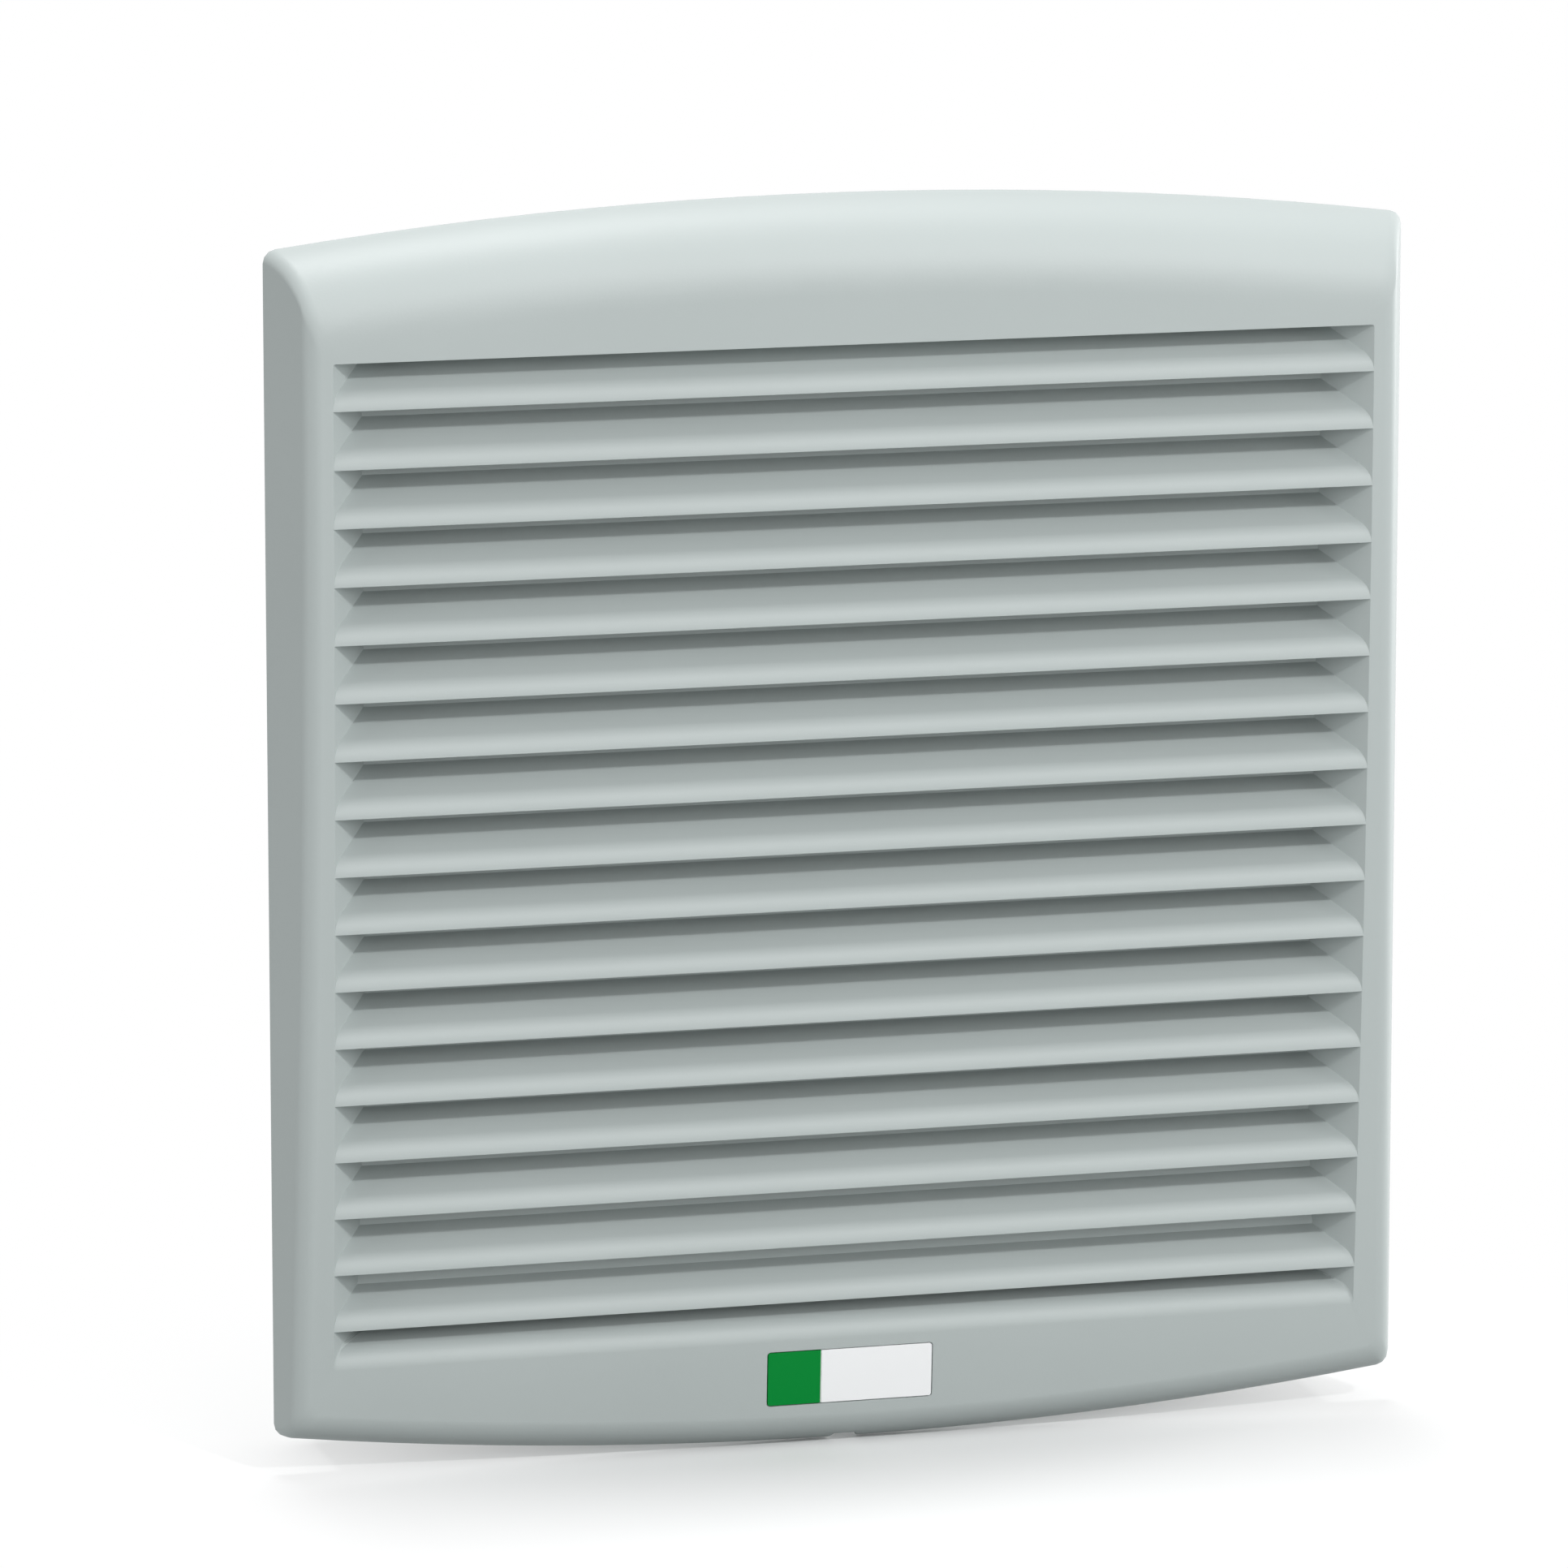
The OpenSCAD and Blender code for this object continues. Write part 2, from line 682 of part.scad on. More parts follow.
module panel_gasket() {
    gasket_in = cutout_gap + 0.5;
    gasket_edge = 0.3;
    color("#26282A")
        slab(-gasket_t, 0)
            difference() {
                round_rect(flange_w - 2 * gasket_edge, flange_h - 2 * gasket_edge, flange_corner);
                round_rect(2 * (collar_x + gasket_in), 2 * (collar_z + gasket_in), collar_corner);
                for (sx = [-1, 1], sz = [-1, 1])
                    translate([sx * screw_dx / 2, sz * screw_z])
                        circle(screw_boss_r + screw_gap);
            }
}

// Leaf springs on the collar's sides that catch behind the panel
module panel_clips() {
    clip_w = 14;
    clip_t = 0.4;
    clip_z = 60;
    clip_back = collar_depth - 4;
    bulge = cutout_gap + 0.4;
    bulge_y = 8;
    clip_front = 3;
    color(steel)
        for (side = [-1, 1], sz = [-1, 1])
            translate([0, 0, sz * clip_z - clip_w / 2])
                linear_extrude(clip_w)
                    mirror([side < 0 ? 1 : 0, 0])
                        translate([collar_x, 0])
                            polygon([[0, clip_back], [clip_t, clip_back], [clip_t, clip_back - 4],
                                [bulge, bulge_y], [clip_t + 0.2, clip_front], [0.2, clip_front],
                                [bulge - clip_t, bulge_y], [0, clip_back - 4]]);
}

module filter_mat() {
    color("#E9EAE6")
        slab(filter_gap, filter_back)
            round_rect(2 * (collar_in_x - filter_side_gap), 2 * (collar_in_z - filter_side_gap), 2);
}

module filter_support_grid() {
    half_x = collar_in_x - grid_gap;
    half_z = collar_in_z - grid_gap;
    field_x = half_x - grid_rim;
    field_z = half_z - grid_rim;
    cell_x = (2 * field_x + grid_rib) / grid_cells;
    cell_z = (2 * field_z + grid_rib) / grid_cells;
    color(light_grey)
        slab(filter_back, grid_back)
            difference() {
                round_rect(2 * half_x, 2 * half_z, collar_corner - collar_wall);
                for (i = [0:grid_cells - 1], j = [0:grid_cells - 1])
                    translate([i * cell_x - field_x, j * cell_z - field_z])
                        square([cell_x - grid_rib, cell_z - grid_rib]);
            }
}

// Square-to-round body of the hood: rings that run from a soft square inlet to the round fan seat
module hood_form(half, outlet_r, front, back) {
    point_count = 48;
    step_count = 7;
    function inlet_r(a) =
        half / pow(pow(abs(cos(a)), hood_square) + pow(abs(sin(a)), hood_square), 1 / hood_square);
    function ease(s) = s * s * (3 - 2 * s);
    function at(k, i) = k * point_count + i % point_count;
    polyhedron(
        points = [for (k = [0:step_count], i = [0:point_count - 1]) let (
            a = i * 360 / point_count,
            r = mix(inlet_r(a), outlet_r, ease(k / step_count)))
            [r * cos(a), mix(front, back, k / step_count), r * sin(a)]],
        faces = concat(
            [[for (i = [point_count - 1:-1:0]) at(0, i)],
             [for (i = [0:point_count - 1]) at(step_count, i)]],
            [for (k = [0:step_count - 1], i = [0:point_count - 1])
                each [[at(k, i), at(k + 1, i + 1), at(k + 1, i)],
                      [at(k, i), at(k, i + 1), at(k + 1, i + 1)]]]));
}

module fan_hood() {
    seat_relief = 0.3;
    color(light_grey)
        difference() {
            union() {
                slab(collar_depth, hood_plate_back)
                    round_rect(2 * collar_x, 2 * collar_z, collar_corner);
                hood_form(inlet_half, bore_r + hood_wall, collar_depth + 1, fan_front - 1);
                rod(seat_r, fan_front - seat_t, fan_front);
                at_fan_screws()
                    rod(2.2 * fan_screw_r, fan_screw_tip - 3 * screw_end_gap, fan_front);
            }
            hood_form(inlet_half - hood_wall, bore_r, collar_depth - 1, fan_front - 1);
            rod(bore_r + seat_relief, fan_front - seat_t + 1, fan_front + 1);
            at_fan_screws()
                rod(fan_screw_r + screw_gap, fan_screw_tip - screw_end_gap, fan_front + 1);
            at_corners(post_x, post_z)
                rod(hood_screw_r + screw_gap, collar_depth - 1, hood_plate_back + 1);
        }
}

// A pan-head screw along Y, its head's underside at seat_y
module pan_screw(r, tip_y, seat_y, head_r, head_h) {
    rod(r, tip_y, seat_y + eps);
    difference() {
        translate([0, seat_y, 0])
            turned()
                intersection() {
                    square([head_r, head_h]);
                    translate([0, head_h - 2 * head_r])
                        circle(2 * head_r);
                }
        for (a = [0, 90])
            translate([0, seat_y + head_h, 0])
                rotate([0, a, 0])
                    cube([1.2 * head_r, head_h, 0.3 * r], center = true);
    }
}

module hood_screws() {
    color(steel)
        at_corners(post_x, post_z)
            pan_screw(hood_screw_r, hood_screw_tip, hood_plate_back, hood_head_r, hood_head_h);
}

module fan_outline(r) {
    intersection() {
        circle(r);
        square([fan_flat_w, 4 * r], center = true);
    }
}

module fan_housing() {
    barrel_r = bore_r + 3;
    color(dark_grey)
        difference() {
            union() {
                slab(fan_front, fan_front + fan_flange_t)
                    fan_outline(fan_r);
                slab(fan_back - fan_flange_t, fan_back)
                    fan_outline(fan_r);
                slab(fan_front, fan_back)
                    fan_outline(barrel_r);
            }
            rod(bore_r, fan_front - 1, fan_back + 1);
            at_fan_screws()
                rod(fan_screw_r + screw_gap, fan_front - 1, fan_back + 1);
            at_earth()
                rod(earth_screw_r + screw_gap, fan_back - fan_flange_t - 1, fan_back + 1);
        }
}

// Motor base on struts, with the tube that holds both bearings
module motor_bracket() {
    bore_in = bearing_r - 1;
    color(dark_grey)
        difference() {
            union() {
                rod(motor_base_r, fan_back - motor_base_t, fan_back);
                for (i = [0:strut_count - 1])
                    rotate([0, (i + 0.5) * 360 / strut_count, 0])
                        translate([bearing_r, fan_back - motor_base_t, -strut_w / 2])
                            cube([strut_reach - bearing_r, motor_base_t, strut_w]);
                rod(bearing_r + tube_wall, tube_front, fan_back);
            }
            rod(bearing_r, tube_front - 1, tube_front + bearing_w);
            rod(bore_in, tube_front, fan_back + 1);
            rod(bearing_r, rear_bearing_y, fan_back + 1);
        }
}

module stator_core() {
    slot_r = 3.4;
    slot_at = stator_r - 7.5;
    color("#6C6F73")
        slab(stator_front, stator_front + stator_len)
            difference() {
                circle(stator_r);
                circle(bearing_r + tube_wall);
                for (i = [0:stator_teeth - 1])
                    rotate(i * 360 / stator_teeth) {
                        translate([slot_at, 0])
                            circle(slot_r);
                        translate([slot_at, -1])
                            square([stator_r, 2]);
                    }
            }
}

module winding_section() {
    inner = bearing_r + tube_wall + 2;
    outer = stator_r - 2.5;
    translate([(inner + outer) / 2, winding_h / 2])
        round_rect(outer - inner, winding_h, winding_h / 3);
}

module stator_windings() {
    color("#A8622B") {
        translate([0, stator_front - winding_h, 0])
            turned()
                winding_section();
        translate([0, stator_front + stator_len, 0])
            turned()
                winding_section();
    }
}

module ball_bearing(front) {
    land = bearing_r - shaft_r;
    color(steel)
        difference() {
            tube(shaft_r + shaft_gap, bearing_r, front, front + bearing_w);
            for (y = [front - 1, front + bearing_w - 0.4])
                tube(shaft_r + 0.32 * land, shaft_r + 0.68 * land, y, y + 1.4);
        }
}

module front_bearing() {
    ball_bearing(front_bearing_y);
}

module rear_bearing() {
    ball_bearing(rear_bearing_y);
}

// A blade that winds about the fan's axis, thickest at mid chord and swept forward to its tip
module impeller_blade(root_r, tip_r) {
    front = fan_front + 3;
    chord = rotor_back - front - 1;
    turn = impeller_twist * PI / 180;
    span_count = 5;
    chord_count = 8;
    ring_points_count = 2 * (chord_count + 1);
    function half_t(s) = impeller_blade_t / 2 * (0.3 + 0.7 * sqrt(max(0, 4 * s * (1 - s))));
    function place(r, s, side) = let (
        slope = sqrt(pow(chord, 2) + pow(r * turn, 2)),
        arc = r * turn * (s - 0.5) + side * half_t(s) * chord / slope,
        a = arc / r * 180 / PI + blade_sweep * (r - root_r) / (tip_r - root_r))
        [r * sin(a), front + chord * s - side * half_t(s) * r * turn / slope, r * cos(a)];
    function section(r) = concat(
        [for (i = [0:chord_count]) place(r, i / chord_count, 1)],
        [for (i = [chord_count:-1:0]) place(r, i / chord_count, -1)]);
    function at(j, i) = j * ring_points_count + i % ring_points_count;
    polyhedron(
        points = [for (j = [0:span_count]) each section(mix(root_r, tip_r, j / span_count))],
        faces = concat(
            [for (i = [0:chord_count - 1]) let (a = at(0, i), b = at(0, ring_points_count - 1 - i))
                each [[a, a + 1, b - 1], [a, b - 1, b]]],
            [for (i = [0:chord_count - 1]) let (
                a = at(span_count, i),
                b = at(span_count, ring_points_count - 1 - i))
                each [[b, b - 1, a + 1], [b, a + 1, a]]],
            [for (j = [0:span_count - 1], i = [0:ring_points_count - 1])
                each [[at(j, i), at(j + 1, i), at(j + 1, i + 1)],
                      [at(j, i), at(j + 1, i + 1), at(j, i + 1)]]]));
}

module impeller() {
    color("#2B2D2F") {
        turned()
            difference() {
                translate([0, hub_front])
                    square([hub_r, rotor_back - hub_front]);
                translate([-eps, can_front])
                    square([hub_in + eps, fan_depth]);
                translate([hub_r - 2, hub_front])
                    difference() {
                        translate([0, -eps])
                            square([2 + eps, 2]);
                        translate([0, 2])
                            circle(2);
                    }
            }
        for (i = [0:impeller_blades - 1])
            rotate([0, i * 360 / impeller_blades, 0])
                impeller_blade(hub_r - 0.6 * hub_wall, bore_r - tip_gap);
    }
}

module rotor_can() {
    color(steel)
        turned()
            difference() {
                union() {
                    difference() {
                        translate([0, can_front])
                            square([hub_in, rotor_back - can_front]);
                        translate([-eps, can_front + can_t])
                            square([can_in + eps, fan_depth]);
                    }
                    translate([0, can_front])
                        square([2.4 * shaft_r, can_boss_back - can_front]);
                }
                translate([-eps, can_front - eps])
                    square([shaft_r + eps, fan_depth]);
            }
}

module rotor_cage() {
    color("#8C9094")
        tube(stator_r + air_gap, can_in, cage_front, cage_front + cage_len);
}

module rotor_shaft() {
    chamfer = 0.5;
    color(steel)
        turned()
            difference() {
                translate([0, can_front])
                    square([shaft_r, shaft_back - can_front]);
                translate([shaft_r, shaft_back])
                    rotate(45)
                        square(2 * chamfer / sqrt(2), center = true);
            }
}

module thrust_washer() {
    color("#D8D2C0")
        tube(shaft_r, 1.9 * shaft_r, can_boss_back, can_boss_back + washer_t);
}

module retaining_ring() {
    color("#3B3B3D")
        difference() {
            tube(shaft_r, 1.9 * shaft_r, ring_y, ring_y + ring_t);
            translate([0, ring_y, 0])
                cube([0.8 * shaft_r, 4 * ring_t, 6 * shaft_r]);
        }
}

module wire_ring(r) {
    translate([0, guard_y, 0])
        turned()
            translate([r, 0])
                circle(wire_r, $fn = 24);
}

// A straight wire from radius r1 to r2 behind the rings, at an angle from the vertical
module guard_spoke(angle, r1, r2) {
    rotate([0, angle, 0])
        translate([0, spoke_y, r1])
            cylinder(h = r2 - r1, r = wire_r);
}

// Rings that are welded to four legs, each with an eye for a fan screw, and to two side spokes
module finger_guard() {
    eye_r = fan_screw_r + screw_gap + wire_r;
    step = (guard_r - guard_inner_r) / (guard_rings - 1);
    color(steel) {
        for (i = [0:guard_rings - 1])
            wire_ring(guard_inner_r + i * step);
        for (a = [fan_screw_angle, 180 - fan_screw_angle, 180 + fan_screw_angle, -fan_screw_angle]) {
            guard_spoke(a, guard_inner_r - wire_r, screw_circle - eye_r);
            rotate([0, a, 0])
                translate([0, spoke_y - guard_y, screw_circle])
                    wire_ring(eye_r);
        }
        for (a = [90, 270])
            guard_spoke(a, guard_inner_r - wire_r, guard_r + wire_r);
    }
}

module fan_screws() {
    color(steel)
        at_fan_screws()
            pan_screw(fan_screw_r, fan_screw_tip, guard_back + weld_gap, fan_head_r, fan_head_h);
}

terminal_x = collar_x - terminal_inset;
terminal_z = -(collar_z - terminal_h / 2 - terminal_gap);
terminal_pitch = terminal_w / terminal_poles;
terminal_screw_r = 2;
terminal_screw_h = 2.4;

module at_poles() {
    for (i = [0:terminal_poles - 1])
        translate([terminal_x + (i - (terminal_poles - 1) / 2) * terminal_pitch, 0, terminal_z])
            children();
}

module terminal_block() {
    entry_r = 1.8;
    top = hood_plate_back + terminal_d;
    color("#D9D8D2")
        difference() {
            translate([terminal_x, 0, terminal_z])
                slab(hood_plate_back, top)
                    round_rect(terminal_w, terminal_h, 1);
            at_poles()
                rod(terminal_screw_r + 0.3, top - 6, top + 1);
            at_poles()
                translate([0, hood_plate_back + terminal_d / 2, -terminal_h / 2 - 1])
                    cylinder(h = terminal_h * 0.6, r = entry_r);
            for (i = [1:terminal_poles - 1])
                translate([terminal_x - terminal_w / 2 + i * terminal_pitch, top, terminal_z])
                    cube([1, 4, terminal_h + 1], center = true);
        }
}

module terminal_screws() {
    base = hood_plate_back + terminal_d - 6;
    color(brass)
        at_poles()
            difference() {
                rod(terminal_screw_r, base, base + terminal_screw_h);
                translate([0, base + terminal_screw_h, 0])
                    cube([2.4 * terminal_screw_r, 1.2, 0.6], center = true);
            }
}

earth_screw_r = 1.5;
earth_circle = (bore_r + fan_r) / 2 + 0.5;
earth_angle = 140;
earth_y = fan_back - fan_flange_t;
tab_t = 0.8;

// Place of the earth screw on the front of the rear flange, with +Z outwards along its ray
module at_earth() {
    rotate([0, earth_angle, 0])
        translate([0, 0, earth_circle])
            children();
}

module earth_tab() {
    tab_w = 6.3;
    tab_len = 18;
    tab_hole_r = 0.9;
    color(brass)
        at_earth()
            difference() {
                slab(earth_y - tab_t, earth_y)
                    translate([-tab_w / 2, -tab_w / 2])
                        square([tab_w, tab_len]);
                rod(earth_screw_r + screw_gap, earth_y - tab_t - 1, earth_y + 1);
                translate([0, 0, tab_len - tab_w])
                    rod(tab_hole_r, earth_y - tab_t - 1, earth_y + 1);
            }
}

module earth_screw() {
    color(brass)
        at_earth()
            translate([0, earth_y - tab_t, 0])
                mirror([0, 1, 0])
                    pan_screw(earth_screw_r, -tab_t - fan_flange_t, 0, 2.6, 1.8);
}

cover_shell();
louvre_blades();
label_plate();
base_frame();
panel_gasket();
panel_clips();
filter_mat();
filter_support_grid();
fan_hood();
hood_screws();
fan_housing();
motor_bracket();
stator_core();
stator_windings();
front_bearing();
rear_bearing();
impeller();
rotor_can();
rotor_cage();
rotor_shaft();
thrust_washer();
retaining_ring();
finger_guard();
fan_screws();
terminal_block();
terminal_screws();
earth_tab();
earth_screw();
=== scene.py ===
import json
import math

import bpy
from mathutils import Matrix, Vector

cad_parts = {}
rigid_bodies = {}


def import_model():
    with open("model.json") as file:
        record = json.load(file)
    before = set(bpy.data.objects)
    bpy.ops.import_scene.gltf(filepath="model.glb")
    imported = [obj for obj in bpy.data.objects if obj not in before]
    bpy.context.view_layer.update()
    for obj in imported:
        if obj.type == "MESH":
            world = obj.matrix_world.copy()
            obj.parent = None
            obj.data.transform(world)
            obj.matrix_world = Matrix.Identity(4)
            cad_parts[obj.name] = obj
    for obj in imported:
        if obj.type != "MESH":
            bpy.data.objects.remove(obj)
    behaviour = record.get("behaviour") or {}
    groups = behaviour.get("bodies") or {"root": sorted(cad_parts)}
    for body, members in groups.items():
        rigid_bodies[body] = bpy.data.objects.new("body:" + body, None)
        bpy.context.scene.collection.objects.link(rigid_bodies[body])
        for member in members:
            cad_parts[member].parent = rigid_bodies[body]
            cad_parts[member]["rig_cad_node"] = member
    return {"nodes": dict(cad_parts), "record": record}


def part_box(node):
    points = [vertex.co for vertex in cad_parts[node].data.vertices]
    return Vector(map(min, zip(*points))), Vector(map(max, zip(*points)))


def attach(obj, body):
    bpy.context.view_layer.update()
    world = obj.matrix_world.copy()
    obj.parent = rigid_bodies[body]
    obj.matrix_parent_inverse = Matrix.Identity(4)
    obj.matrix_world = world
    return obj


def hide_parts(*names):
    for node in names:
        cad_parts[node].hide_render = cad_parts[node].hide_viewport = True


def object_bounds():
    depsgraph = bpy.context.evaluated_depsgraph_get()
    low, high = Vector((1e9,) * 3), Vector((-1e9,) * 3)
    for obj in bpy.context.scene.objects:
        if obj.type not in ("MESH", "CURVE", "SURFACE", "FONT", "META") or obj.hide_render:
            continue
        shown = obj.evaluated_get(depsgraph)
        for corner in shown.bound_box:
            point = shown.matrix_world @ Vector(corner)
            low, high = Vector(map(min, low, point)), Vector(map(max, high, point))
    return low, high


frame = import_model()
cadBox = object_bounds()
nodes = frame["nodes"]
scene = bpy.context.scene
scene.view_settings.view_transform = "Standard"
mm = 0.001
print("frame loaded with", len(nodes), "nodes")


# small helpers

def direction(azimuth, elevation):
    turn, rise = math.radians(azimuth), math.radians(elevation)
    return Vector((math.sin(turn) * math.cos(rise), -math.cos(turn) * math.cos(rise), math.sin(rise)))


def facing(away):
    return away.to_track_quat("Z", "Y").to_euler()  # cameras and lamps look along their own -Z


def pick(piece):
    bpy.ops.object.select_all(action="DESELECT")
    piece.select_set(True)
    bpy.context.view_layer.objects.active = piece


def applyModifier(piece, kind, settings):
    modifier = piece.modifiers.new(kind.lower(), kind)
    for key, value in settings.items():
        setattr(modifier, key, value)
    pick(piece)
    bpy.ops.object.modifier_apply(modifier=modifier.name)


def linear(hexCode):
    shares = [int(hexCode[i:i + 2], 16) / 255 for i in (1, 3, 5)]
    return [s / 12.92 if s <= 0.04045 else ((s + 0.055) / 1.055) ** 2.4 for s in shares] + [1.0]


def perMm(size):
    return 1 / (size * mm)  # texture scale that gives features of this size


def bandScale(spacing):
    waveRun = 20  # a wave texture runs this many radians per unit
    return 2 * math.pi / waveRun / (spacing * mm)


def addNode(tree, kind, settings={}, links={}):
    node = tree.nodes.new("ShaderNode" + kind)
    for key, value in settings.items():
        if isinstance(key, int) or key in node.inputs:
            node.inputs[key].default_value = value
        else:
            setattr(node, key, value)
    for key, socket in links.items():
        tree.links.new(socket, node.inputs[key])
    return node


def newTree(owner):
    owner.use_nodes = True
    owner.node_tree.nodes.clear()
    return owner.node_tree


# camera: a long lens, a little to the left of the front and above it
photoCamera = {
    "azimuth": -15.496,
    "elevation": 10.502,
    "distance": 2.07226,
    "target": (-0.012288, 0.0, 0.008453),
    "lens": 225.0,
    "sensor": 36.0,
}


def addCamera():
    away = direction(photoCamera["azimuth"], photoCamera["elevation"])
    place = Vector(photoCamera["target"]) + away * photoCamera["distance"]
    bpy.ops.object.camera_add(location=place, rotation=facing(away))
    camera = bpy.context.object
    camera.data.sensor_width = photoCamera["sensor"]
    camera.data.lens = photoCamera["lens"]
    scene.camera = camera


addCamera()
print("camera placed")

# studio: soft boxes round the object, each at the level that it lends to a surface facing it
softBoxes = {
    "key": {"azimuth": 20, "elevation": 36, "distance": 2.2, "size": 0.15, "level": 0.33},
    "overhead": {"azimuth": 180, "elevation": 83, "distance": 2.0, "size": 0.5, "level": 0.55},
    "frontFill": {"azimuth": 5, "elevation": 16, "distance": 2.4, "size": 0.8, "level": 0.17},
    "rightRim": {"azimuth": 112, "elevation": 4, "distance": 2.0, "size": 0.5, "level": 0.38},
    "rightFront": {"azimuth": 62, "elevation": 12, "distance": 2.2, "size": 0.7, "level": 0.20},
    "leftSide": {"azimuth": -75, "elevation": 12, "distance": 2.2, "size": 0.8, "level": 0.17},
    "rear": {"azimuth": 180, "elevation": 14, "distance": 2.2, "size": 1.0, "level": 0.42},
}
studioRoom = {"ambient": 0.41, "floorSize": 8.0, "floorGap": 0.2, "floorColour": "#F4F5F5",
              "bounceColour": "#9A9D9D", "whiteFrom": 0.0, "whiteTo": 0.22}


def addSoftBox(name, box):
    away = direction(box["azimuth"], box["elevation"])
    bpy.ops.object.light_add(type="AREA", location=away * box["distance"], rotation=facing(away))
    lamp = bpy.context.object
    lamp.name = name
    lamp.data.size = box["size"]
    lamp.data.energy = box["level"] * (math.pi * box["distance"]) ** 2


def seenRays(tree):
    path = addNode(tree, "LightPath")
    direct = addNode(tree, "Math", {"operation": "MAXIMUM"},
                     {0: path.outputs["Is Camera Ray"], 1: path.outputs["Is Glossy Ray"]})
    seen = addNode(tree, "Math", {"operation": "MAXIMUM"},
                   {0: direct.outputs["Value"], 1: path.outputs["Is Transmission Ray"]})
    return seen.outputs["Value"]


def addWorld():
    scene.world = bpy.data.worlds.new("studioWorld")
    tree = newTree(scene.world)
    ambient = addNode(tree, "Background", {"Strength": studioRoom["ambient"], "Color": linear("#FFFFFF")})
    backdrop = addNode(tree, "Background", {"Strength": 1.0, "Color": linear("#FFFFFF")})
    mixed = addNode(tree, "MixShader", {}, {0: seenRays(tree), 1: ambient.outputs["Background"],
                                            2: backdrop.outputs["Background"]})
    addNode(tree, "OutputWorld", {}, {"Surface": mixed.outputs["Shader"]})


def addFloor():
    height = cadBox[0].z - studioRoom["floorGap"] * mm
    bpy.ops.mesh.primitive_plane_add(size=studioRoom["floorSize"], location=(0, 0, height))
    floor = bpy.context.object
    floor.name = "studioFloor"
    material = bpy.data.materials.new("paleFloor")
    tree = newTree(material)
    # pale and shadowed near the object, fading to plain white; duller for the light that it throws back
    place = addNode(tree, "TexCoord")
    reach = addNode(tree, "VectorMath", {"operation": "LENGTH"}, {0: place.outputs["Object"]})
    fade = addNode(tree, "MapRange",
                   {"From Min": studioRoom["whiteFrom"], "From Max": studioRoom["whiteTo"],
                    "interpolation_type": "SMOOTHSTEP"}, {"Value": reach.outputs["Value"]})
    pale = addNode(tree, "BsdfDiffuse", {"Color": linear(studioRoom["floorColour"])})
    white = addNode(tree, "Emission", {"Color": linear("#FFFFFF"), "Strength": 1.0})
    shown = addNode(tree, "MixShader", {},
                    {0: fade.outputs["Result"], 1: pale.outputs["BSDF"], 2: white.outputs["Emission"]})
    dull = addNode(tree, "BsdfDiffuse", {"Color": linear(studioRoom["bounceColour"])})
    shader = addNode(tree, "MixShader", {},
                     {0: seenRays(tree), 1: dull.outputs["BSDF"], 2: shown.outputs["Shader"]})
    addNode(tree, "OutputMaterial", {}, {"Surface": shader.outputs["Shader"]})
    floor.data.materials.append(material)


for boxName, softBox in softBoxes.items():
    addSoftBox(boxName, softBox)
addWorld()
addFloor()
print("studio lit")


# surfaces with a fine grain: cloudy colour, uneven gloss and a low bump, each from noise of a real size
noiseDetail = {"cloud": 3.0, "grain": 2.0, "strand": 4.0}


def grainedSurface(name, look):
    material = bpy.data.materials.new(name)
    tree = newTree(material)
    place = addNode(tree, "TexCoord")
    laid = addNode(tree, "Mapping", {"Scale": look.get("stretch", (1, 1, 1))},
                   {"Vector": place.outputs["Object"]})
    cloud = addNode(tree, "TexNoise", {"Scale": perMm(look["cloud"]), "Detail": noiseDetail["cloud"]},
                    {"Vector": place.outputs["Object"]})
    tint = addNode(tree, "MixRGB", {"Color1": linear(look["colour"]), "Color2": linear(look["shade"])},
                   {"Fac": cloud.outputs["Fac"]})
    grain = addNode(tree, "TexNoise", {"Scale": perMm(look["grain"]), "Detail": noiseDetail["grain"]},
                    {"Vector": laid.outputs["Vector"]})
    gloss = addNode(tree, "MapRange", {"To Min": look["roughness"][0], "To Max": look["roughness"][1]},
                    {"Value": grain.outputs["Fac"]})
    bump = addNode(tree, "Bump", {"Distance": look["height"] * mm}, {"Height": grain.outputs["Fac"]})
    shader = addNode(tree, "BsdfPrincipled", {"Metallic": look.get("metallic", 0.0)},
                     {"Base Color": tint.outputs["Color"], "Roughness": gloss.outputs["Result"],
                      "Normal": bump.outputs["Normal"]})
    if "ior" in look:
        shader.inputs["IOR"].default_value = look["ior"]
    addNode(tree, "OutputMaterial", {}, {"Surface": shader.outputs["BSDF"]})
    return material


# ABS moulded against a spark-eroded tool: an even soft sheen over a fine stipple
coverAbs = {"colour": "#B6BEBD", "shade": "#B1B9B8", "cloud": 60, "grain": 0.5, "height": 0.01,
            "roughness": (0.46, 0.58), "ior": 1.54}
# the same ABS from a plainer tool, for what sits behind the panel: smoother and a little darker
frameAbs = {"colour": "#B3BBB9", "shade": "#ADB5B3", "cloud": 45, "grain": 0.8, "height": 0.012,
            "roughness": (0.40, 0.55), "ior": 1.54}
# closed-cell EPDM foam: dead matt black with small pores
foamedEpdm = {"colour": "#232527", "shade": "#191B1D", "cloud": 6, "grain": 0.6, "height": 0.12,
              "roughness": (0.82, 0.95), "ior": 1.5}
# rolled spring strip: cool dark steel with lines along the rolling
springStrip = {"colour": "#A9ADB2", "shade": "#8D9297", "cloud": 9, "grain": 0.5, "height": 0.006,
               "stretch": (1, 0.08, 1), "roughness": (0.24, 0.40), "metallic": 1.0}
# zinc-plated, blue-passivated steel: pale with a faint bluish cloud
zincSteel = {"colour": "#C9CED6", "shade": "#B4BBC0", "cloud": 4, "grain": 0.4, "height": 0.004,
             "roughness": (0.26, 0.42), "metallic": 1.0}
